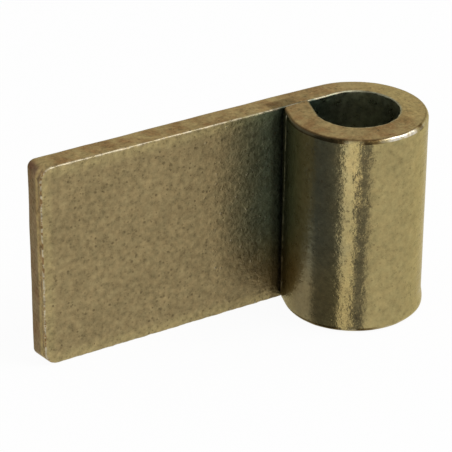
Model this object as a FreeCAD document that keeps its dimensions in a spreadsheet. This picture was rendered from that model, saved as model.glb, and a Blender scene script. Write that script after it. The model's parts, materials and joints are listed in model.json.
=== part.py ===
import FreeCAD, Part
import math
import os
import Sketcher

# Leaf of a weld-on barrel hinge: a short flat bar with one end rolled round the pin.
# The origin is on the bore's axis at mid height, +Z runs along the bore,
# the flat leaf reaches out along -X, and its back face, which is welded, looks along +Y.

# Driving sizes in millimetres, and one angle in degrees: name, value, meaning.
SIZES = (
    ("strip_width", 30.0, "width of the flat bar, which is the height of the barrel"),
    ("strip_thickness", 4.0, "thickness of the flat bar"),
    ("bore_diameter", 11.8, "inside diameter of the rolled eye"),
    ("bore_to_free_end", 46.4, "distance from the bore's axis to the free end of the leaf"),
    ("end_lean", 18.0, "lean of the short end that the rolling leaves straight"),
    ("seam_gap", 0.1, "gap between the rolled end and the front of the leaf"),
    ("corner_radius", 2.0, "rounded corners at the free end of the leaf"),
    ("outer_edge_radius", 0.5, "rounding that the shear leaves round the outer face"),
    ("inner_edge_radius", 0.2, "small break round the inner face, where the shear leaves a crisp edge"),
)

SHEET = "sizes"
NODE = "hinge_leaf"
UP = FreeCAD.Vector(0, 0, 1)
SAME = 1e-6
QUARTER_TURN = 90.0
HALF_TURN = 180.0

# The outline's stretches, in the order in which draw_profile adds them, and the points on each.
BACK, OUTER_ARC, OUTER_END, END_FACE, INNER_END, INNER_ARC, FRONT, FREE_END = range(8)
START, END, CENTRE = range(1, 4)
SKETCH_ORIGIN = (-1, 1)


def make_sheet(doc):
    sheet = doc.addObject("Spreadsheet::Sheet", SHEET)
    for row, (name, value, meaning) in enumerate(SIZES, start=1):
        sheet.set(f"A{row}", name)
        sheet.set(f"B{row}", str(value))
        sheet.set(f"C{row}", meaning)
        sheet.setAlias(f"B{row}", name)
    doc.recompute()
    return sheet


def on_circle(radius, degrees):
    turn = math.radians(degrees)
    return FreeCAD.Vector(radius * math.cos(turn), radius * math.sin(turn), 0)


def straight_end(radius, sheet):
    """Start and end of the unbent stretch, at this radius, that runs up to the front of the leaf."""
    start = on_circle(radius, HALF_TURN - sheet.end_lean)
    rise = sheet.bore_diameter / 2 - sheet.seam_gap - start.y
    run = rise * math.tan(math.radians(sheet.end_lean))
    return start, start + FreeCAD.Vector(run, rise, 0)


def draw_profile(sketch, sheet):
    """The strip seen along the bore: flat leaf, rolled eye and the straight end that closes it."""
    inner = sheet.bore_diameter / 2
    outer = inner + sheet.strip_thickness
    arc_start = math.radians(-HALF_TURN - sheet.end_lean)
    arc_end = math.radians(QUARTER_TURN)
    back_corner = FreeCAD.Vector(-sheet.bore_to_free_end, outer, 0)
    front_corner = FreeCAD.Vector(-sheet.bore_to_free_end, inner, 0)
    outer_start, outer_tip = straight_end(outer, sheet)
    inner_start, inner_tip = straight_end(inner, sheet)
    centre = FreeCAD.Vector(0, 0, 0)
    sketch.addGeometry([
        Part.LineSegment(back_corner, on_circle(outer, QUARTER_TURN)),
        Part.ArcOfCircle(Part.Circle(centre, UP, outer), arc_start, arc_end),
        Part.LineSegment(outer_start, outer_tip),
        Part.LineSegment(outer_tip, inner_tip),
        Part.LineSegment(inner_tip, inner_start),
        Part.ArcOfCircle(Part.Circle(centre, UP, inner), arc_start, arc_end),
        Part.LineSegment(on_circle(inner, QUARTER_TURN), front_corner),
        Part.LineSegment(front_corner, back_corner),
    ])


def join_profile(sketch):
    """Close the outline, keep both arcs about the bore's axis and every straight stretch tangent."""
    rule = Sketcher.Constraint
    sketch.addConstraint([
        rule("Tangent", BACK, END, OUTER_ARC, END),
        rule("Tangent", OUTER_ARC, START, OUTER_END, START),
        rule("Coincident", OUTER_END, END, END_FACE, START),
        rule("Coincident", END_FACE, END, INNER_END, START),
        rule("Tangent", INNER_END, END, INNER_ARC, START),
        rule("Tangent", INNER_ARC, END, FRONT, START),
        rule("Coincident", FRONT, END, FREE_END, START),
        rule("Coincident", FREE_END, END, BACK, START),
        rule("Coincident", OUTER_ARC, CENTRE, *SKETCH_ORIGIN),
        rule("Coincident", INNER_ARC, CENTRE, *SKETCH_ORIGIN),
        rule("Horizontal", BACK),
        rule("Horizontal", FRONT),
        rule("Horizontal", END_FACE),
        rule("Vertical", FREE_END),
        rule("Parallel", OUTER_END, INNER_END),
    ])


def bind(sketch, name, constraint, expression):
    index = sketch.addConstraint(constraint)
    sketch.renameConstraint(index, name)
    sketch.setExpression(f"Constraints.{name}", expression)


def size_profile(sketch, sheet):
    """Tie the outline to the sheet."""
    rule = Sketcher.Constraint
    inner = sheet.bore_diameter / 2
    lean = math.radians(sheet.end_lean)
    bind(sketch, "bore_radius", rule("Radius", INNER_ARC, inner), f"{SHEET}.bore_diameter / 2")
    bind(sketch, "thickness", rule("Distance", FREE_END, sheet.strip_thickness), f"{SHEET}.strip_thickness")
    bind(sketch, "reach", rule("DistanceX", BACK, START, *SKETCH_ORIGIN, sheet.bore_to_free_end),
         f"{SHEET}.bore_to_free_end")
    bind(sketch, "lean", rule("Angle", OUTER_END, FREE_END, lean), f"{SHEET}.end_lean * 1 deg")
    bind(sketch, "seam", rule("DistanceY", OUTER_END, END, INNER_ARC, END, sheet.seam_gap),
         f"{SHEET}.seam_gap")


def origin_plane(body, role):
    return next(feature for feature in body.Origin.OriginFeatures if feature.Role == role)


def make_profile(body, sheet):
    sketch = body.newObject("Sketcher::SketchObject", "strip_profile")
    sketch.AttachmentSupport = (origin_plane(body, "XY_Plane"), [""])
    sketch.MapMode = "FlatFace"
    draw_profile(sketch, sheet)
    join_profile(sketch)
    size_profile(sketch, sheet)
    return sketch


def make_strip(body, sketch):
    strip = body.newObject("PartDesign::Pad", "rolled_strip")
    strip.Profile = (sketch, [""])
    strip.SideType = "Symmetric"
    strip.setExpression("Length", f"{SHEET}.strip_width")
    body.Document.recompute()
    return strip


def corner_edges(shape, sheet):
    """The two edges across the thickness at the free end."""
    names = []
    for number, edge in enumerate(shape.Edges, start=1):
        ends = [vertex.Point for vertex in edge.Vertexes]
        at_free_end = all(abs(point.x + sheet.bore_to_free_end) < SAME for point in ends)
        one_height = abs(ends[0].z - ends[-1].z) < SAME
        if at_free_end and one_height:
            names.append(f"Edge{number}")
    return names


def is_skin(face, radius):
    """True for a face of the strip that curls round the bore at this radius, or runs tangent to that curl."""
    surface = face.Surface
    if isinstance(surface, Part.Cylinder):
        upright = abs(abs(surface.Axis.z) - 1) < SAME
        return upright and abs(surface.Radius - radius) < SAME
    if isinstance(surface, Part.Plane):
        upright = abs(surface.Axis.z) < SAME
        return upright and abs(abs(surface.Position.dot(surface.Axis)) - radius) < SAME
    return False


def rim_edges(shape, radius):
    """The edges round one side of the strip, where its skin meets the sheared faces."""
    names = []
    for number, edge in enumerate(shape.Edges, start=1):
        faces = shape.ancestorsOfType(edge, Part.Face)
        skins = [is_skin(face, radius) for face in faces]
        if any(skins) and not all(skins):
            names.append(f"Edge{number}")
    return names


def round_edges(body, name, base, edges, size_name):
    fillet = body.newObject("PartDesign::Fillet", name)
    fillet.Base = (base, edges)
    fillet.setExpression("Radius", f"{SHEET}.{size_name}")
    body.Document.recompute()
    return fillet


def make_hinge_leaf(doc, sheet):
    body = doc.addObject("PartDesign::Body", NODE)
    body.Label = NODE
    body.Placement = FreeCAD.Placement()
    strip = make_strip(body, make_profile(body, sheet))
    corners = round_edges(body, "free_corners", strip, corner_edges(strip.Shape, sheet), "corner_radius")
    inner = sheet.bore_diameter / 2
    outer = inner + sheet.strip_thickness
    outer_rim = round_edges(body, "outer_rim", corners, rim_edges(corners.Shape, outer), "outer_edge_radius")
    round_edges(body, "inner_rim", outer_rim, rim_edges(outer_rim.Shape, inner), "inner_edge_radius")
    return body


def check(doc, bodies):
    for item in doc.Objects:
        if "Invalid" in item.State or "Error" in item.State:
            raise RuntimeError(f"{item.Name} failed: {item.State}")
    for body in bodies:
        shape = body.Shape
        if shape.isNull() or not shape.isValid() or len(shape.Solids) != 1:
            raise RuntimeError(f"{body.Label} isn't one valid solid")


def main():
    doc = FreeCAD.newDocument("barrel_hinge_leaf")
    sheet = make_sheet(doc)
    bodies = [make_hinge_leaf(doc, sheet)]
    doc.recompute()
    check(doc, bodies)
    os.makedirs("parts", exist_ok=True)
    for body in bodies:
        body.Shape.exportStep(f"parts/{body.Label}.step")


main()
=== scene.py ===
import json
import math

import bpy
from bpy.props import FloatProperty, FloatVectorProperty, IntProperty, PointerProperty
from mathutils import Matrix, Vector


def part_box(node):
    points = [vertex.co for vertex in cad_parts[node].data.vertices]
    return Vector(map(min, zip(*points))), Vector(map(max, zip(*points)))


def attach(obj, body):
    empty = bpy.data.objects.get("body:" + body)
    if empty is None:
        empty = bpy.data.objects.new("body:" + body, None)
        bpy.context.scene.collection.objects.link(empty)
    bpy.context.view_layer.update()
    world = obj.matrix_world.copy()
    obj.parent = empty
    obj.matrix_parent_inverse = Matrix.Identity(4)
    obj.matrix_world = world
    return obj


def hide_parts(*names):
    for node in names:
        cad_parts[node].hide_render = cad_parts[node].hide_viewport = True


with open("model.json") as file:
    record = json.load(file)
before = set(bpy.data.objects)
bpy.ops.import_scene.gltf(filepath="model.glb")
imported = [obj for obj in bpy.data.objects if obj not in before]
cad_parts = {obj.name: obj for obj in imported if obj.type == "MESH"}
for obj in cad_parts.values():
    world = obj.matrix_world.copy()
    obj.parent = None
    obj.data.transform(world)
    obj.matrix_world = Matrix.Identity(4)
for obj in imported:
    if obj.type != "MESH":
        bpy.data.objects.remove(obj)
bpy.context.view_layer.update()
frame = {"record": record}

bl_info = {
    "name": "Weld-on Barrel Hinge Leaf",
    "version": (1, 0, 0),
    "blender": (4, 5, 0),
    "location": "View3D > Sidebar > Hinge",
    "description": "Rolls a sheared steel bar into the leaf and knuckle of a weld-on barrel hinge",
    "category": "Object",
}

MM = 0.001
NODE = "hinge_leaf"
BODY = "root"
LEAF_LOW, LEAF_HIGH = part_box(NODE)
BORE = next(mount for mount in frame["record"]["mounts"] if mount["name"] == "pin_bore")
BORE_RADIUS = BORE["dims"]["r_mm"] * MM
BAR_THICKNESS = LEAF_HIGH.y - BORE_RADIUS
BAR_WIDTH = LEAF_HIGH.z - LEAF_LOW.z
HALF_WIDTH = BAR_WIDTH / 2
REACH = -LEAF_LOW.x
QUARTER_TURN = math.pi / 2
ROLLED_LENGTH = 89.7 * MM
PLACE = "strip_place"
SHEARED = "sheared"
EDGE = "edge_turn"


class LeafSizes(bpy.types.PropertyGroup):
    """Sizes of the bar and of the eye that is rolled from it."""

    bar_width: FloatProperty(
        name="Bar width", description="Width of the flat bar, which is the height of the barrel",
        default=BAR_WIDTH, min=0.001, unit="LENGTH", subtype="DISTANCE")
    bar_thickness: FloatProperty(
        name="Bar thickness", description="Thickness of the flat bar",
        default=BAR_THICKNESS, min=0.0005, unit="LENGTH", subtype="DISTANCE")
    bore_radius: FloatProperty(
        name="Bore radius", description="Inside radius of the rolled eye",
        default=BORE_RADIUS, min=0.001, unit="LENGTH", subtype="DISTANCE")
    reach: FloatProperty(
        name="Reach", description="Distance from the bore's axis to the free end of the leaf",
        default=REACH, min=0.005, unit="LENGTH", subtype="DISTANCE")
    end_lean: FloatProperty(
        name="End lean", description="Lean of the short end that the rolling leaves straight",
        default=math.radians(18), unit="ROTATION", subtype="ANGLE")
    corner_radius: FloatProperty(
        name="Corner radius", description="Rounded corners at the free end",
        default=2.0 * MM, min=0.0, unit="LENGTH", subtype="DISTANCE")
    outer_edge: FloatProperty(
        name="Outer edge", description="Rounding that the shear draws round the outer face",
        default=0.62 * MM, min=0.0, unit="LENGTH", subtype="DISTANCE")
    inner_edge: FloatProperty(
        name="Inner edge", description="Small uneven break round the inner face, where the shear came out",
        default=0.26 * MM, min=0.0, unit="LENGTH", subtype="DISTANCE")
    seam_gap: FloatProperty(
        name="Seam gap", description="What is left open where the rolled end meets the leaf",
        default=0.03 * MM, min=0.0, unit="LENGTH", subtype="DISTANCE")
    rim_lift: FloatProperty(
        name="Rim lift", description="How far the rolling raises the bore's rim and draws in the outer one",
        default=0.12 * MM, min=0.0, unit="LENGTH", subtype="DISTANCE")
    waviness: FloatProperty(
        name="Waviness", description="Unevenness of the sheared edges",
        default=0.05 * MM, min=0.0, unit="LENGTH", subtype="DISTANCE")
    seed: IntProperty(
        name="Seed", description="Picks another run of dents and waves", default=3, min=0)


class SteelColours(bpy.types.PropertyGroup):
    """Colours and gloss of the bare steel."""

    inner_skin: FloatVectorProperty(
        name="Inner face", description="Rolled skin on the front of the leaf and in the bore",
        default=(0.249, 0.194, 0.095), size=3, min=0.0, max=1.0, subtype="COLOR")
    outer_skin: FloatVectorProperty(
        name="Outer face", description="Skin on the back of the leaf and round the barrel, stretched bright",
        default=(0.318, 0.259, 0.115), size=3, min=0.0, max=1.0, subtype="COLOR")
    sheared_edge: FloatVectorProperty(
        name="Sheared edge", description="Sheared faces round the bar",
        default=(0.260, 0.195, 0.090), size=3, min=0.0, max=1.0, subtype="COLOR")
    stain: FloatVectorProperty(
        name="Stain", description="Brown stains on the sheared faces",
        default=(0.190, 0.110, 0.048), size=3, min=0.0, max=1.0, subtype="COLOR")
    # Partly mill scale and oil, partly painted shade: the dark beside the seam and on the barrel's rolled end.
    scale_and_painted_shade: FloatVectorProperty(
        name="Mill scale", description="Dark scale and oil left in the corner beside the seam",
        default=(0.145, 0.157, 0.114), size=3, min=0.0, max=1.0, subtype="COLOR")
    bore_skin: FloatVectorProperty(
        name="Bore", description="Dull skin inside the eye",
        default=(0.340, 0.352, 0.262), size=3, min=0.0, max=1.0, subtype="COLOR")
    # Partly edges rubbed bright, partly painted highlight on the rims, and the colour of the painted glints beside
    # the seam.
    worn_edge_and_highlight: FloatVectorProperty(
        name="Worn edge", description="Edges rubbed bright",
        default=(0.42, 0.37, 0.26), size=3, min=0.0, max=1.0, subtype="COLOR")
    roughness: FloatProperty(
        name="Roughness", description="How far the steel blurs what it reflects",
        default=0.3, min=0.0, max=1.0, subtype="FACTOR")


class StageSettings(bpy.types.PropertyGroup):
    """Camera and light."""

    azimuth: FloatProperty(
        name="Azimuth", description="Direction of the view; zero looks along +Y",
        default=math.radians(-31.832), unit="ROTATION", subtype="ANGLE")
    elevation: FloatProperty(
        name="Elevation", description="Height of the view above the horizon",
        default=math.radians(27.830), unit="ROTATION", subtype="ANGLE")
    roll: FloatProperty(
        name="Roll", description="Turn of the camera about its own axis",
        default=math.radians(0.381), unit="ROTATION", subtype="ANGLE")
    distance: FloatProperty(
        name="Distance", description="Distance from the camera to the point it looks at",
        default=0.36446, unit="LENGTH", subtype="DISTANCE")
    lens: FloatProperty(
        name="Lens", description="Focal length on a sensor 36 mm wide, in millimetres", default=202.195)
    key_power: FloatProperty(
        name="Key power", description="Power of the large soft lamp in watts", default=2.9, min=0.0)
    sky: FloatProperty(
        name="Sky", description="Light of the tent round the object", default=0.55, min=0.0)


STRIP_INPUTS = (
    ("Bar width", "bar_width"),
    ("Bar thickness", "bar_thickness"),
    ("Bore radius", "bore_radius"),
    ("Reach", "reach"),
    ("End lean", "end_lean"),
    ("Corner radius", "corner_radius"),
    ("Outer edge", "outer_edge"),
    ("Inner edge", "inner_edge"),
    ("Seam gap", "seam_gap"),
    ("Rim lift", "rim_lift"),
    ("Waviness", "waviness"),
)
DIVISIONS = (340, 90, 16)

# Free corners: the back ones are this share of the front ones. The rolled end's corners stay square.
BACK_CORNER = 0.55
ROLLED_CORE = 0.9 * MM
# How much wider than deep the shear draws the outer edge down.
DRAWN_ACROSS = 1.15
DRAWN_DOWN = 0.9
FLAT_DEPTH = 0.05 * MM
BURR_HEIGHT = 0.17 * MM


class Field:
    """A number at each point of a surface. Sums, products and the like add Math nodes to its tree."""

    def __init__(self, tree, socket):
        self.tree = tree
        self.socket = socket

    def math(self, operation, *others):
        node = self.tree.nodes.new("ShaderNodeMath")
        node.operation = operation
        for entry, value in zip(node.inputs, (self, *others)):
            plug(self.tree, value, entry)
        return Field(self.tree, node.outputs[0])

    def __add__(self, other):
        return self.math("ADD", other)

    def __sub__(self, other):
        return self.math("SUBTRACT", other)

    def __mul__(self, other):
        return self.math("MULTIPLY", other)

    def __truediv__(self, other):
        return self.math("DIVIDE", other)

    def __neg__(self):
        return self * -1.0

    def at_least(self, other):
        return self.math("MAXIMUM", other)

    def at_most(self, other):
        return self.math("MINIMUM", other)

    def within(self, low, high):
        return self.at_least(low).at_most(high)

    def under(self, limit):
        return self.math("LESS_THAN", limit)

    def choose(self, when_one, when_zero):
        return when_zero + (when_one - when_zero) * self

    def fade(self, share):
        """One where this is 0, and less by this share where it is 1."""
        return self * -share + 1.0

    def step(self, start, end):
        """Rises smoothly from 0 at start to 1 at end."""
        node = self.tree.nodes.new("ShaderNodeMapRange")
        node.interpolation_type = "SMOOTHSTEP"
        for name, value in (("Value", self), ("From Min", start), ("From Max", end)):
            plug(self.tree, value, node.inputs[name])
        return Field(self.tree, node.outputs["Result"])


def plug(tree, value, entry):
    if isinstance(value, Field):
        tree.links.new(value.socket, entry)
    elif isinstance(value, bpy.types.NodeSocket):
        tree.links.new(value, entry)
    else:
        entry.default_value = value


def join(tree, x, y, z):
    node = tree.nodes.new("ShaderNodeCombineXYZ")
    for entry, value in zip(node.inputs, (x, y, z)):
        plug(tree, value, entry)
    return node.outputs[0]


def split(tree, vector):
    node = tree.nodes.new("ShaderNodeSeparateXYZ")
    tree.links.new(vector, node.inputs[0])
    return [Field(tree, output) for output in node.outputs]


def noise(tree, place, per_mm, seed=0.0, detail=2.0, roughness=0.5):
    """Noise between -1 and 1 with this many waves to the millimetre."""
    node = tree.nodes.new("ShaderNodeTexNoise")
    node.noise_dimensions = "4D"
    plug(tree, place, node.inputs["Vector"])
    plug(tree, seed, node.inputs["W"])
    node.inputs["Scale"].default_value = per_mm / MM
    node.inputs["Detail"].default_value = detail
    node.inputs["Roughness"].default_value = roughness
    return (Field(tree, node.outputs[0]) - 0.5) * 2.0


def make_strip_tree():
    """A blank of sheared bar, graded fine along its edges, then rounded, dented and rolled."""
    tree = bpy.data.node_groups.new("Rolled strip", "GeometryNodeTree")
    sockets = {}
    for name, _ in STRIP_INPUTS:
        sockets[name] = tree.interface.new_socket(name=name, in_out="INPUT", socket_type="NodeSocketFloat")
    sockets["Seed"] = tree.interface.new_socket(name="Seed", in_out="INPUT", socket_type="NodeSocketInt")
    sockets["Steel"] = tree.interface.new_socket(name="Steel", in_out="INPUT", socket_type="NodeSocketMaterial")
    tree.interface.new_socket(name="Leaf", in_out="OUTPUT", socket_type="NodeSocketGeometry")
    entry = tree.nodes.new("NodeGroupInput")
    size = {name: Field(tree, entry.outputs[name]) for name, _ in STRIP_INPUTS}
    seed = Field(tree, entry.outputs["Seed"])

    blank = tree.nodes.new("GeometryNodeMeshCube")
    for name, divisions in zip(("Vertices X", "Vertices Y", "Vertices Z"), DIVISIONS):
        blank.inputs[name].default_value = divisions + 1
    place = tree.nodes.new("GeometryNodeInputPosition")
    along, across, through = split(tree, place.outputs[0])

    width, thick, bore, reach = (size[name] for name in ("Bar width", "Bar thickness", "Bore radius", "Reach"))
    lean = size["End lean"]
    outside = bore + thick
    neutral = bore + thick / 2.0
    wrapped = neutral * (lean + 3.0 * QUARTER_TURN)
    straight = (bore - neutral * lean.math("SINE")) / lean.math("COSINE")
    length = reach + wrapped + straight
    s = grade(along, 0.6) * length
    w = (grade(across, 0.82) - 0.5) * width
    n = grade(through, 0.55) * thick

    plan = join(tree, s, w, 0.0)
    s, w, n, side, turn = round_edges(tree, size, seed, plan, s, w, n, length)
    s, w, n = roll_marks(tree, size, seed, plan, s, w, n, length)
    x, y = roll(size, s, n, outside, neutral, wrapped, straight)

    # The marks are stored before the blank is moved, because they are worked out from where its points are.
    marked = store(tree, blank.outputs["Mesh"], PLACE, "FLOAT_VECTOR", join(tree, s, w, n))
    marked = store(tree, marked, EDGE, "FLOAT_VECTOR", turn)
    marked = store(tree, marked, SHEARED, "FLOAT", side)
    moved = tree.nodes.new("GeometryNodeSetPosition")
    tree.links.new(marked, moved.inputs["Geometry"])
    tree.links.new(join(tree, x, y, w), moved.inputs["Position"])
    smooth = tree.nodes.new("GeometryNodeSetShadeSmooth")
    tree.links.new(moved.outputs[0], smooth.inputs["Geometry"])
    real = tree.nodes.new("GeometryNodeRealizeInstances")
    tree.links.new(smooth.outputs[0], real.inputs["Geometry"])
    coated = tree.nodes.new("GeometryNodeSetMaterial")
    tree.links.new(real.outputs[0], coated.inputs["Geometry"])
    tree.links.new(entry.outputs["Steel"], coated.inputs["Material"])
    leave = tree.nodes.new("NodeGroupOutput")
    tree.links.new(coated.outputs[0], leave.inputs["Leaf"])
    return tree, sockets


def grade(coordinate, pull):
    """From -0.5..0.5 to 0..1, with the divisions pulled towards both ends."""
    share = coordinate + 0.5
    return share - (share * (2.0 * math.pi)).math("SINE") * (pull / (2.0 * math.pi))


def store(tree, geometry, name, kind, value):
    node = tree.nodes.new("GeometryNodeStoreNamedAttribute")
    node.data_type = kind
    node.domain = "POINT"
    node.inputs["Name"].default_value = name
    tree.links.new(geometry, node.inputs["Geometry"])
    plug(tree, value, node.inputs["Value"])
    return node.outputs["Geometry"]


def round_edges(tree, size, seed, plan, s, w, n, length):
    """Round the free corners in plan, then the two rims, the outer one widely and the inner one crisply."""
    free_half = s.under(length / 2.0)
    thick = size["Bar thickness"]
    tighter_behind = (n / thick).within(0.0, 1.0) * (1.0 - BACK_CORNER) + BACK_CORNER
    core = (size["Corner radius"] * tighter_behind - ROLLED_CORE) * free_half + ROLLED_CORE
    half = size["Bar width"] / 2.0 - core
    core_s = s.within(core, length - core)
    core_w = w.within(-half, half)
    a = s - core_s
    b = w - core_w
    square = a.math("ABSOLUTE").at_least(b.math("ABSOLUTE"))
    inset = core - square

    outer = n.under(thick / 2.0)
    from_skin = n.at_most(thick - n)
    drawn = noise(tree, plan, 0.16, seed, 2.0) * 0.35 + 1.0
    beads = noise(tree, plan, 0.75, seed + 7.0, 2.0, 0.6)
    broken = (beads * 1.3 + 0.85).within(0.25, 1.9)
    bend = size["Reach"]
    under_end = s.step(bend - 9.8 * MM, bend - 8.8 * MM) * s.step(bend - 4.2 * MM, bend - 5.2 * MM)
    crisp = size["Inner edge"] * broken * under_end.fade(0.3)
    across_skin = outer.choose(size["Outer edge"] * drawn * DRAWN_ACROSS, crisp)
    down_side = outer.choose(size["Outer edge"] * drawn * DRAWN_DOWN, crisp)
    u = ((across_skin - inset) / across_skin).within(0.0, 1.0)
    v = ((down_side - from_skin) / down_side).within(0.0, 1.0)
    spread = (u * u + v * v).math("SQRT").at_least(0.001)
    inset = inset + across_skin * (u - u / spread)
    from_skin = from_skin + down_side * (v - v / spread)

    wave = noise(tree, plan, 0.11, seed + 20.0, 1.0) + noise(tree, plan, 0.45, seed + 30.0, 2.0) * 0.4
    tear = noise(tree, join(tree, s, w, n), 0.9, seed + 40.0, 2.0) * 0.25
    open_side = s.step(length - 3.0 * MM, length - 1.0 * MM).fade(1.0)
    reach = core - inset + (wave + tear) * size["Waviness"] * open_side * (square / core).within(0.0, 1.0)
    plan_length = free_half.choose((a * a + b * b).math("SQRT"), square).at_least(1e-7)
    new_s = core_s + reach * a / plan_length
    new_w = core_w + reach * b / plan_length
    new_n = outer.choose(from_skin, thick - from_skin)
    side = inset.step(0.25 * MM, 0.02 * MM) * from_skin.step(0.02 * MM, 0.3 * MM)
    return new_s, new_w, new_n, side, join(tree, u / spread, v / spread, outer)


def roll_marks(tree, size, seed, plan, s, w, n, length):
    """What the rolling leaves: the bore's rim raised, the outer rim drawn in, shallow flats and a low burr."""
    thick = size["Bar thickness"]
    half = size["Bar width"] / 2.0
    start = size["Reach"]
    bent = s.step(start - 4.0 * MM, start + 5.0 * MM)
    near_edge = w.math("ABSOLUTE").step(half - 3.5 * MM, half)
    outward = w.math("SIGN")
    w = w + outward * near_edge * bent * size["Rim lift"] * (n * 2.0 / thick - 1.0)
    skin = (n / thick).fade(1.0).within(0.0, 1.0)
    clear_of_seam = s.step(length - 2.0 * MM, length - 6.0 * MM)
    flats = noise(tree, plan, 0.12, seed + 50.0, 1.5)
    n = n + (flats * 0.5 + 0.5) * skin * bent * clear_of_seam * FLAT_DEPTH
    lower_rim = w.step(-half + 2.8 * MM, -half + 1.0 * MM)
    burr = lower_rim * s.step(start + 10.0 * MM, start + 14.0 * MM) * s.step(start + 23.0 * MM, start + 19.0 * MM)
    n = n - burr * skin * BURR_HEIGHT
    return s, w, n


def roll(size, s, n, outside, neutral, wrapped, straight):
    """Wrap the strip round the bore's axis and leave its last stretch straight, against the leaf."""
    lean = size["End lean"]
    past = s - size["Reach"]
    turn = past.within(0.0, wrapped) / neutral
    radius = outside - n
    end_reach = (size["Bore radius"] - size["Seam gap"] - radius * lean.math("SINE")) / lean.math("COSINE")
    end = ((past - wrapped) / straight).at_least(0.0) * end_reach
    x = radius * turn.math("SINE") + past.at_most(0.0) + end * lean.math("SINE")
    y = radius * turn.math("COSINE") + end * lean.math("COSINE")
    return x, y


def mix_colours(tree, share, first, second, blend="MIX"):
    node = tree.nodes.new("ShaderNodeMix")
    node.data_type = "RGBA"
    node.blend_type = blend
    plug(tree, share, node.inputs["Factor"])
    for name, value in (("A", first), ("B", second)):
        entry = next(item for item in node.inputs if item.name == name and item.type == "RGBA")
        plug(tree, value if isinstance(value, bpy.types.NodeSocket) else (*value, 1.0), entry)
    return next(item for item in node.outputs if item.type == "RGBA")


# Stretches of the bar, in millimetres past the start of the bend: where each begins, is full, wanes and ends.
GLINT_ZONE = (-24.0, -14.0, -9.0, -2.0)
SEAM_GROOVE = (-10.6, -9.6, -7.0, -5.0)
PALE_RING = (2.0, 8.0, 16.0, 24.0)
RIM_NICK = (20.1, 20.5, 21.0, 21.5)
RIM_HIGHLIGHT_STRETCH = (21.0, 22.6, 25.0, 27.0)
STREAK = (27.0, 29.5, 31.0, 33.0)
STREAK_LUMPS = (27.0, 29.0, 32.0, 34.0)
STREAK_TOP = (28.6, 29.4, 30.4, 31.2)

# Tints that multiply the steel's colour.
# Green-grey cast of the painted shade beside the seam.
PAINTED_SHADE_CAST = (0.66, 0.96, 1.18)
MARGIN_HIGHLIGHT = (1.32, 1.37, 1.30)
TORN_BAND_AND_GROOVE_SHADE = (0.45, 0.40, 0.56)
UNDER_RIM_SHADE = (0.35, 0.31, 0.27)
RIM_SHADE_TINT = (0.28, 0.22, 0.17)
BORE_RIM_SHADE = (0.30, 0.27, 0.24)
BORE_END_SHADE = (0.30, 0.22, 0.12)
STREAK_HIGHLIGHT = (1.32, 1.30, 1.28)
WARM_PATCH = (1.02, 0.985, 0.97)
GROOVE_SHADE = (0.45, 0.43, 0.42)

# Colours that cover it.
OIL_AND_SHADE_BARREL = (0.152, 0.124, 0.066)
PALE_SHEAR = (0.310, 0.245, 0.102)
SEAM_LIP_HIGHLIGHT = (0.55, 0.51, 0.41)
RIM_RUB_AND_HIGHLIGHT = (0.64, 0.60, 0.50)
PIT_FLOOR = (0.075, 0.054, 0.028)

GRAZING_TINT = (0.94, 0.87, 0.64, 1.0)
RELIEF_DEPTH = 0.026 * MM
TIP_SLANT = 0.045


def past_bend(along, start, end):
    """Rises from 0 to 1 between two places, in millimetres past the start of the bend."""
    return along.step(REACH + start * MM, REACH + end * MM)


def stretch(along, begin, full, wane, end):
    """One on a stretch of the bar, given in millimetres past the start of the bend, and 0 off it."""
    return past_bend(along, begin, full) * past_bend(along, end, wane)


class Coat:
    """A colour that is built up in layers over a first one."""

    def __init__(self, tree, colour):
        self.tree = tree
        self.colour = colour

    def cover(self, share, colour):
        self.colour = mix_colours(self.tree, share, self.colour, colour)

    def tint(self, share, colour):
        self.colour = mix_colours(self.tree, share, self.colour, colour, "MULTIPLY")


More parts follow.
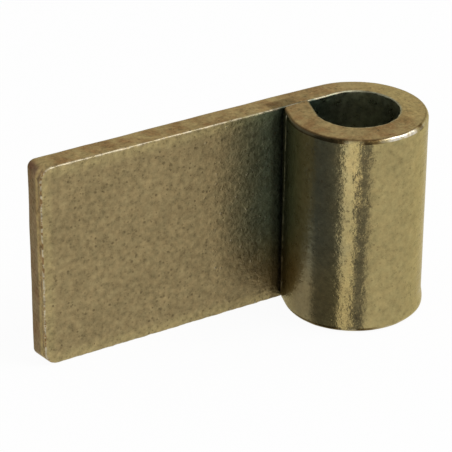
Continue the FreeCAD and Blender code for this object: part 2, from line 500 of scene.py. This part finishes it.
class Surface:
    """What the steel knows about each point: its place on the bar, the edge beside it, noises and marks."""

    def __init__(self, tree):
        self.place = tree.nodes.new("ShaderNodeTexCoord").outputs["Object"]
        self.along, self.across, self.through = split(tree, attribute(tree, PLACE).outputs["Vector"])
        self.to_side, self.to_skin, self.outer = split(tree, attribute(tree, EDGE).outputs["Vector"])
        self.sheared = Field(tree, attribute(tree, SHEARED).outputs["Fac"])
        self.inner = self.outer.fade(1.0)
        self.clouds = noise(tree, self.place, 0.35, 3.0, 3.0, 0.6)
        self.grain = noise(tree, self.place, 1.15, 11.0, 3.0, 0.68)
        self.beads = noise(tree, self.place, 0.9, 37.0, 2.0, 0.6)
        self.nicks = noise(tree, self.place, 1.5, 43.0, 2.0, 0.6)
        self.drifted = self.along + self.clouds * (1.5 * MM)
        # Towards the rolled end, where oil and painted shade darken the barrel.
        self.oil_and_shade = self.drifted.step(ROLLED_LENGTH - 16.0 * MM, ROLLED_LENGTH - 6.0 * MM)
        self.bore = self.inner * past_bend(self.along, 0.0, 4.0) * self.sheared.fade(1.0)
        self.beside_seam = stretch(self.along, *GLINT_ZONE) * self.inner
        self.find_specks(tree)
        self.find_rims()
        self.find_lip()

    def find_specks(self, tree):
        """Dark pits in three sizes, fewer in the bore and on the outer face, and light glints beside the seam."""
        small = specks(tree, self.place, 2.4, 0.36) * 0.7
        middling = specks(tree, self.place, 1.6, 0.36)
        large = specks(tree, self.place, 0.95, 0.25) * 0.8
        crowding = (self.clouds * 2.2 + 0.8).within(0.3, 1.2)
        self.pit = large.at_least(middling).at_least(small) * self.bore.fade(0.9) * crowding * self.outer.fade(0.4)
        scattered = (self.nicks * 3.5 + 0.25).within(0.0, 1.0)
        self.glint = specks(tree, self.place, 1.2, 0.3) * scattered * past_bend(self.along, -10.0, -12.5)

    def find_rims(self):
        """The crisp inner rims, the bore's own, which gets painted shade, the stretch of the outer rim that gets
        painted shade, and the nick in it.
        """
        corner = self.to_side * self.to_skin
        self.crisp = corner * 2.2 * self.inner * past_bend(self.along, 1.0, 6.0).fade(0.85)
        self.bore_rim_shade = corner * 3.0 * self.inner * past_bend(self.along, 3.0, 8.0)
        rounding = self.to_skin.step(0.2, 0.45) * self.to_skin.step(0.999, 0.98) * self.outer
        self.rim_shade = rounding * past_bend(self.along, 25.6, 27.6) * stretch(self.along, *STREAK_TOP).fade(0.85)
        upper_rim = self.to_side.step(0.05, 0.3) * self.to_skin.step(0.1, 0.4) * self.outer
        self.nick = upper_rim * self.across.step(0.0, 1.0 * MM) * stretch(self.along, *RIM_NICK)

    def find_lip(self):
        """The rolled end's outer edge at the seam: a small ridge, and a painted highlight along its lip."""
        from_tip = self.along * -1.0 + ROLLED_LENGTH - (self.across + HALF_WIDTH) * TIP_SLANT
        edge = from_tip.step(0.45 * MM, 0.75 * MM) * self.outer * self.to_skin.step(0.8, 0.9)
        self.ridge = edge * from_tip.step(1.3 * MM, 0.85 * MM)
        self.lip = edge * from_tip.step(1.5 * MM, 1.2 * MM) * (self.beads * 1.8 + 0.6).within(0.2, 0.9)


def front_skin(tree, at, colours):
    """Rolled skin on the front of the leaf, darkened beside the seam partly by mill scale and partly by painted
    shade, and dull inside the bore.
    """
    # The painted shade beside the seam reaches less far towards the foot of the leaf.
    narrower_at_foot = at.across.step(-HALF_WIDTH + 13.0 * MM, -HALF_WIDTH) * (10.0 * MM)
    shade_along = at.drifted - narrower_at_foot
    coat = Coat(tree, tuple(colours.inner_skin))
    coat.cover(past_bend(shade_along, -15.0, -5.0), tuple(colours.scale_and_painted_shade))
    coat.tint(past_bend(shade_along, -20.0, -10.5) * 0.8, PAINTED_SHADE_CAST)
    coat.cover(past_bend(at.along, -5.0, 4.0), tuple(colours.bore_skin))
    return coat.colour


def outer_skin(tree, at, colours):
    """Skin on the back and round the barrel, darker towards the rolled end and darker still above its foot, partly
    with oil and mill scale and partly with painted shade.
    """
    above_foot = at.across.step(-HALF_WIDTH + 5.0 * MM, -HALF_WIDTH + 15.0 * MM)
    coat = Coat(tree, tuple(colours.outer_skin))
    coat.cover(at.oil_and_shade, OIL_AND_SHADE_BARREL)
    coat.cover(at.oil_and_shade * above_foot, tuple(colours.scale_and_painted_shade))
    return coat.colour


def sheared_face(tree, at, colours):
    """Brown stains, a paler stretch on the ring, and at the free end a darker torn band behind and a thin line of
    painted shade where a small groove runs near the front.
    """
    coat = Coat(tree, tuple(colours.sheared_edge))
    coat.cover((at.clouds * 2.4 + 0.4).within(0.0, 1.0), tuple(colours.stain))
    coat.cover(stretch(at.along, *PALE_RING) * 0.6, PALE_SHEAR)
    free_end = at.along.step(0.9 * MM, 0.3 * MM) * at.sheared
    groove_shade_line = at.through.step(3.15 * MM, 3.3 * MM) * at.through.step(3.75 * MM, 3.6 * MM)
    broken_band = groove_shade_line * (at.beads * 2.0 + 0.6).within(0.0, 1.0)
    torn = at.through.step(2.9 * MM, 2.3 * MM).at_least(broken_band)
    coat.tint(torn * free_end * 0.9, TORN_BAND_AND_GROOVE_SHADE)
    return coat.colour


def unworn_faces(tree, at, colours):
    """Rolled skin with a painted highlight along its margins, and the sheared faces between."""
    skin = Coat(tree, mix_colours(tree, at.outer, front_skin(tree, at, colours), outer_skin(tree, at, colours)))
    beside_rims = at.across.math("ABSOLUTE").step(HALF_WIDTH - 2.4 * MM, HALF_WIDTH - 0.5 * MM)
    highlight_margin = beside_rims.at_least(at.along.step(2.2 * MM, 0.5 * MM))
    # Painted highlight along the margins, mostly on the inner face.
    skin.tint(highlight_margin * at.outer.fade(0.7) * 0.8, MARGIN_HIGHLIGHT)
    return mix_colours(tree, at.sheared, skin.colour, sheared_face(tree, at, colours))


def wear_and_painted_light(coat, at, colours):
    """Paint shade on the rims and in the nick, paint highlights on the streak and the seam's edge, and lighten the
    rims, partly rubbed and partly painted highlight.
    """
    # Painted shade: a dark band along the outer rounding, beside the rim's highlight.
    under_rim_shade = at.to_skin.step(0.05, 0.2) * at.to_skin.step(0.55, 0.4) * at.outer
    coat.tint(under_rim_shade * 0.5, UNDER_RIM_SHADE)
    # Painted shade on the outer rim's stretch towards the seam.
    coat.tint(at.rim_shade * 0.95, RIM_SHADE_TINT)
    # Painted shade on the bore's rim, darker and browner further round the eye.
    coat.tint(at.bore_rim_shade.at_most(0.8), BORE_RIM_SHADE)
    coat.tint((at.bore_rim_shade * past_bend(at.along, 32.0, 36.0)).at_most(0.9), BORE_END_SHADE)
    # The nick is a dent drawn only as a dark spot in the stain colour: painted shade.
    coat.tint(at.nick * 0.85, tuple(colours.stain))
    # A painted highlight: the colour is lighter along the upper part of the barrel's streak of light.
    bare = stretch(at.along, *STREAK) * at.outer * at.to_skin.step(0.7, 0.95)
    coat.tint(bare * at.across.step(1.0 * MM, 10.0 * MM), STREAK_HIGHLIGHT)

    free_end = at.along.step(1.4 * MM, 0.7 * MM)
    bright = free_end.choose((at.nicks * 4.0 + 0.55).within(0.0, 1.0), (at.beads * 2.6 + 0.85).within(0.25, 1.0))
    # Lighter beads on the outer rim's rounding and on the crisp inner rims: partly rubbed bright, partly painted
    # highlight.
    rubbed = at.to_skin.step(0.55, 0.75) * at.to_skin.step(0.985, 0.92) * at.outer * at.rim_shade.fade(1.0)
    rubbed = rubbed * (at.beads * 1.6 + 0.3).within(0.05, 0.8)
    coat.cover((at.crisp * free_end * bright.fade(1.0)).within(0.0, 0.9), tuple(colours.stain))
    coat.cover((at.crisp * bright).at_least(rubbed), tuple(colours.worn_edge_and_highlight))
    # Painted highlight along the rolled end's edge at the seam.
    coat.cover(at.lip, SEAM_LIP_HIGHLIGHT)
    # A lighter stretch of the outer rim: partly rubbed bright, partly painted highlight.
    shine = stretch(at.along, *RIM_HIGHLIGHT_STRETCH) * at.to_skin.step(0.3, 0.5) * at.to_skin.step(0.99, 0.94)
    shine = shine * at.outer * at.across.step(0.0, 1.0 * MM) * (at.beads * 2.0 + 0.75).within(0.15, 1.0)
    coat.cover(shine * at.nick.fade(1.0), RIM_RUB_AND_HIGHLIGHT)


def mottle(tree, coat, at, colours):
    """Warm patches, grain, painted shade in the seam's groove, dark pits and painted glints."""
    warm = noise(tree, at.place, 0.85, 17.0, 3.0, 0.6)
    coat.tint((warm * 2.2 + 0.5).within(0.0, 1.0), WARM_PATCH)
    grit = noise(tree, at.place, 2.4, 61.0, 2.0, 0.6) * at.sheared * 0.45
    patches = noise(tree, at.place, 0.22, 5.0, 2.0, 0.5) * 0.2
    shade = grit + at.grain * (at.outer * -0.35 + 0.85) + patches + 1.0
    coat.tint(1.0, join(tree, shade, shade, shade))
    # Painted shade in the groove beside the seam.
    coat.tint(stretch(at.along, *SEAM_GROOVE) * at.inner * 0.8, GROOVE_SHADE)
    coat.cover((at.pit * 0.75).at_most(0.85), PIT_FLOOR)
    # Painted glints beside the seam, in the same light colour.
    coat.cover(at.glint * at.beside_seam, tuple(colours.worn_edge_and_highlight))


def relief(tree, at):
    """Height of the fine marks, in depths of RELIEF_DEPTH: grain, pits, rolling lines and the seam's ridge."""
    drawn_out = join(tree, at.along * 0.22, at.across, at.through)
    lines = noise(tree, drawn_out, 1.5, 23.0, 2.0, 0.6) * (at.outer * at.oil_and_shade.fade(1.0) * 1.9 + 0.5)
    bumps = at.grain * 1.5 + noise(tree, at.place, 0.55, 51.0, 2.0, 0.6) * 4.0
    lumps = bumps * stretch(at.along, *STREAK_LUMPS) * at.outer
    skin = (at.grain + lumps + lines + at.clouds * 1.6 - at.pit * 1.2) * at.bore.fade(0.7)
    flecks = (at.glint * 8.0 + at.nicks * 3.0) * at.beside_seam
    ridge = at.ridge * (at.beads * 3.0 + 0.8).within(0.2, 1.2) * 4.5
    return skin + flecks + ridge


def make_steel(colours):
    """Bare rolled steel: mottled khaki skin with fine dark pits, browner on the sheared faces."""
    steel = bpy.data.materials.new("Bare rolled steel")
    steel.use_nodes = True
    tree = steel.node_tree
    shader = tree.nodes["Principled BSDF"]
    shader.inputs["Metallic"].default_value = 1.0
    shader.inputs["Specular Tint"].default_value = GRAZING_TINT
    at = Surface(tree)

    coat = Coat(tree, unworn_faces(tree, at, colours))
    wear_and_painted_light(coat, at, colours)
    mottle(tree, coat, at, colours)
    tree.links.new(coat.colour, shader.inputs["Base Color"])

    roughness = (
        at.grain * 0.1 + at.pit * 0.15 + at.sheared * 0.06 + at.beside_seam * 0.14
        + at.crisp.at_most(1.0) * 0.2 + colours.roughness)
    plug(tree, roughness, shader.inputs["Roughness"])

    bump = tree.nodes.new("ShaderNodeBump")
    bump.inputs["Distance"].default_value = RELIEF_DEPTH
    plug(tree, relief(tree, at), bump.inputs["Height"])
    tree.links.new(bump.outputs[0], shader.inputs["Normal"])
    return steel


def attribute(tree, name):
    node = tree.nodes.new("ShaderNodeAttribute")
    node.attribute_name = name
    return node


def specks(tree, place, per_mm, size):
    """Fine specks of different sizes, a little drawn out, at most one in each cell."""
    warp = tree.nodes.new("ShaderNodeVectorMath")
    warp.operation = "ADD"
    plug(tree, place, warp.inputs[0])
    drift = noise(tree, place, 1.6 * per_mm, 31.0, 1.0) * (0.16 * MM / per_mm)
    plug(tree, join(tree, drift, -drift, drift * 0.5), warp.inputs[1])
    cells = tree.nodes.new("ShaderNodeTexVoronoi")
    cells.voronoi_dimensions = "3D"
    cells.inputs["Scale"].default_value = per_mm / MM
    plug(tree, warp.outputs[0], cells.inputs["Vector"])
    red, green, _ = split(tree, cells.outputs["Color"])
    radius = red.step(0.15, 1.0) * size
    reach = Field(tree, cells.outputs["Distance"])
    return ((radius - reach) / 0.09).within(0.0, 1.0) * (green * 0.7 + 0.3)


class HINGE_OT_rolled_leaf(bpy.types.Operator):
    """Roll the leaf and its knuckle from one sheared bar"""

    bl_idname = "hinge.rolled_leaf"
    bl_label = "Rolled leaf"

    def execute(self, context):
        sizes = context.scene.hinge_leaf_sizes
        steel = make_steel(context.scene.hinge_steel_colours)
        tree, sockets = make_strip_tree()
        blank = bpy.data.objects.new("strip_blank", bpy.data.meshes.new("strip_blank"))
        context.scene.collection.objects.link(blank)
        rolling = blank.modifiers.new("Rolled strip", "NODES")
        rolling.node_group = tree
        for name, prop in STRIP_INPUTS:
            rolling[sockets[name].identifier] = getattr(sizes, prop)
        rolling[sockets["Seed"].identifier] = sizes.seed
        rolling[sockets["Steel"].identifier] = steel
        context.view_layer.update()
        mesh = bpy.data.meshes.new_from_object(blank.evaluated_get(context.evaluated_depsgraph_get()))
        bpy.data.objects.remove(blank)
        if not mesh.polygons:
            raise RuntimeError("the rolled strip came out empty")
        mesh.name = "rolled_leaf"
        leaf = bpy.data.objects.new("rolled_leaf", mesh)
        context.scene.collection.objects.link(leaf)
        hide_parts(NODE)
        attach(leaf, BODY)
        return {"FINISHED"}


FLOOR_GLOW = 0.95
FLOOR_REACH = 2.0
FLOOR_GAP = 0.02 * MM
AIM_POINT = (-12.788 * MM, 13.605 * MM, -5.882 * MM)
SENSOR_WIDTH = 36.0
LAMP_PLACE = (0.37, -0.31, 0.575)
LAMP_TARGET = (-0.01, 0.0, 0.0)
LAMP_WIDTH = 0.4
LAMP_HEIGHT = 0.3
# Name, one end and the other end in plan, how far the top leans, the heights of foot and top in millimetres,
# and the glow. They reach below the floor, which the metal doesn't show.
FLAGS = (
    ("left_flag", (-15.1, -1.6), (-10.25, -9.35), (0.0, 0.0), -40.0, 60.0, (0.2, 0.205, 0.2)),
    ("front_flag", (-8.83, -10.68), (-5.88, -12.53), (2.93, -1.87), -40.0, 60.0, (0.2, 0.21, 0.26)),
    ("white_card", (-12.65, -10.4), (-9.7, -15.0), (0.0, 0.0), -40.0, 60.0, (1.58, 1.53, 1.4)),
)


def card(name, corners, material):
    """One flat sheet with these corners, part of the stage."""
    mesh = bpy.data.meshes.new(name)
    mesh.from_pydata([Vector(corner) for corner in corners], [], [tuple(range(len(corners)))])
    mesh.materials.append(material)
    sheet = bpy.data.objects.new(name, mesh)
    bpy.context.scene.collection.objects.link(sheet)
    return sheet


def make_floor_paint():
    """Near-white floor: all but white to the camera, with the object's soft shadow, and clear from below."""
    paint = bpy.data.materials.new("Pale floor")
    paint.use_nodes = True
    tree = paint.node_tree
    shader = tree.nodes["Principled BSDF"]
    shader.inputs["Base Color"].default_value = (0.9, 0.9, 0.9, 1.0)
    shader.inputs["Roughness"].default_value = 0.9
    shader.inputs["Specular IOR Level"].default_value = 0.0
    glow = tree.nodes.new("ShaderNodeEmission")
    mixed = tree.nodes.new("ShaderNodeMixShader")
    plug(tree, seen_rays(tree) * FLOOR_GLOW, mixed.inputs["Fac"])
    tree.links.new(shader.outputs[0], mixed.inputs[1])
    tree.links.new(glow.outputs[0], mixed.inputs[2])
    below = tree.nodes.new("ShaderNodeMixShader")
    tree.links.new(tree.nodes.new("ShaderNodeNewGeometry").outputs["Backfacing"], below.inputs["Fac"])
    tree.links.new(mixed.outputs[0], below.inputs[1])
    tree.links.new(tree.nodes.new("ShaderNodeBsdfTransparent").outputs[0], below.inputs[2])
    tree.links.new(below.outputs[0], tree.nodes["Material Output"].inputs["Surface"])
    return paint


def seen_rays(tree):
    """One for rays from the camera and for those that metal or glass sends on."""
    rays = tree.nodes.new("ShaderNodeLightPath")
    camera, glossy, clear = (
        Field(tree, rays.outputs[name]) for name in ("Is Camera Ray", "Is Glossy Ray", "Is Transmission Ray"))
    return camera.at_least(glossy).at_least(clear)


def make_sky(level):
    """White to the camera and in reflections, and an even tent light on everything else."""
    world = bpy.data.worlds.new("Light tent")
    bpy.context.scene.world = world
    world.use_nodes = True
    tree = world.node_tree
    background = tree.nodes["Background"]
    background.inputs["Color"].default_value = (1.0, 1.0, 1.0, 1.0)
    plug(tree, seen_rays(tree) * (1.0 - level) + level, background.inputs["Strength"])


def soft_lamp(name, centre, target, width, height, power):
    lamp = bpy.data.lights.new(name, "AREA")
    lamp.shape = "RECTANGLE"
    lamp.size = width
    lamp.size_y = height
    lamp.energy = power
    holder = bpy.data.objects.new(name, lamp)
    holder.location = centre
    holder.rotation_euler = (Vector(target) - Vector(centre)).to_track_quat("-Z", "Y").to_euler()
    bpy.context.scene.collection.objects.link(holder)


def make_camera(stage):
    lens = bpy.data.cameras.new("View")
    lens.lens = stage.lens
    lens.sensor_width = SENSOR_WIDTH
    lens.clip_start = 0.01
    back = Vector((
        math.sin(stage.azimuth) * math.cos(stage.elevation),
        -math.cos(stage.azimuth) * math.cos(stage.elevation),
        math.sin(stage.elevation)))
    camera = bpy.data.objects.new("View", lens)
    turn = (-back).to_track_quat("-Z", "Y").to_matrix() @ Matrix.Rotation(stage.roll, 3, "Z")
    camera.matrix_world = Matrix.Translation(Vector(AIM_POINT) + back * stage.distance) @ turn.to_4x4()
    bpy.context.scene.collection.objects.link(camera)
    bpy.context.scene.camera = camera


def make_flags():
    """Two narrow dark cards and a white one beside the barrel, seen only in the metal."""
    for name, start, end, lean, low, high, colour in FLAGS:
        (x0, y0), (x1, y1), (dx, dy) = start, end, lean
        flag = card(name, [Vector(corner) * MM for corner in (
            (x0, y0, low), (x1, y1, low), (x1 + dx, y1 + dy, high), (x0 + dx, y0 + dy, high))],
            make_card_paint(name, colour))
        flag.visible_camera = False
        flag.visible_diffuse = False
        flag.visible_shadow = False
        flag.visible_transmission = False


def make_card_paint(name, colour):
    paint = bpy.data.materials.new(name)
    paint.use_nodes = True
    tree = paint.node_tree
    glow = tree.nodes.new("ShaderNodeEmission")
    glow.inputs["Color"].default_value = (*colour, 1.0)
    tree.links.new(glow.outputs[0], tree.nodes["Material Output"].inputs["Surface"])
    return paint


class HINGE_OT_stage(bpy.types.Operator):
    """Set up the floor, the tent light, the lamp, the flags and the camera"""

    bl_idname = "hinge.stage"
    bl_label = "Stage"

    def execute(self, context):
        stage = context.scene.hinge_stage
        level = LEAF_LOW.z - FLOOR_GAP
        corners = ((-1, -1), (1, -1), (1, 1), (-1, 1))
        floor = card("floor", [(x * FLOOR_REACH, y * FLOOR_REACH, level) for x, y in corners], make_floor_paint())
        floor.visible_glossy = False
        make_flags()
        make_sky(stage.sky)
        soft_lamp("key_lamp", LAMP_PLACE, LAMP_TARGET, LAMP_WIDTH, LAMP_HEIGHT, stage.key_power)
        make_camera(stage)
        context.scene.view_settings.view_transform = "Standard"
        return {"FINISHED"}


class HINGE_PT_panel(bpy.types.Panel):
    """The hinge leaf's sizes, colours and stage"""

    bl_idname = "HINGE_PT_panel"
    bl_label = "Barrel hinge leaf"
    bl_space_type = "VIEW_3D"
    bl_region_type = "UI"
    bl_category = "Hinge"

    def draw(self, context):
        for group, operator in PANEL_ROWS:
            column = self.layout.column(align=True)
            settings = getattr(context.scene, group)
            for name in settings.bl_rna.properties.keys():
                if name not in {"rna_type", "name"}:
                    column.prop(settings, name)
            if operator:
                column.operator(operator)


PANEL_ROWS = (
    ("hinge_steel_colours", None),
    ("hinge_leaf_sizes", HINGE_OT_rolled_leaf.bl_idname),
    ("hinge_stage", HINGE_OT_stage.bl_idname),
)
SETTINGS = (
    ("hinge_leaf_sizes", LeafSizes),
    ("hinge_steel_colours", SteelColours),
    ("hinge_stage", StageSettings),
)
CLASSES = (LeafSizes, SteelColours, StageSettings, HINGE_OT_rolled_leaf, HINGE_OT_stage, HINGE_PT_panel)


def register():
    for item in CLASSES:
        bpy.utils.register_class(item)
    for name, group in SETTINGS:
        setattr(bpy.types.Scene, name, PointerProperty(type=group))


def unregister():
    for name, _ in SETTINGS:
        delattr(bpy.types.Scene, name)
    for item in reversed(CLASSES):
        bpy.utils.unregister_class(item)


def main():
    register()
    bpy.ops.hinge.rolled_leaf()
    bpy.ops.hinge.stage()


if __name__ == "__main__":
    main()
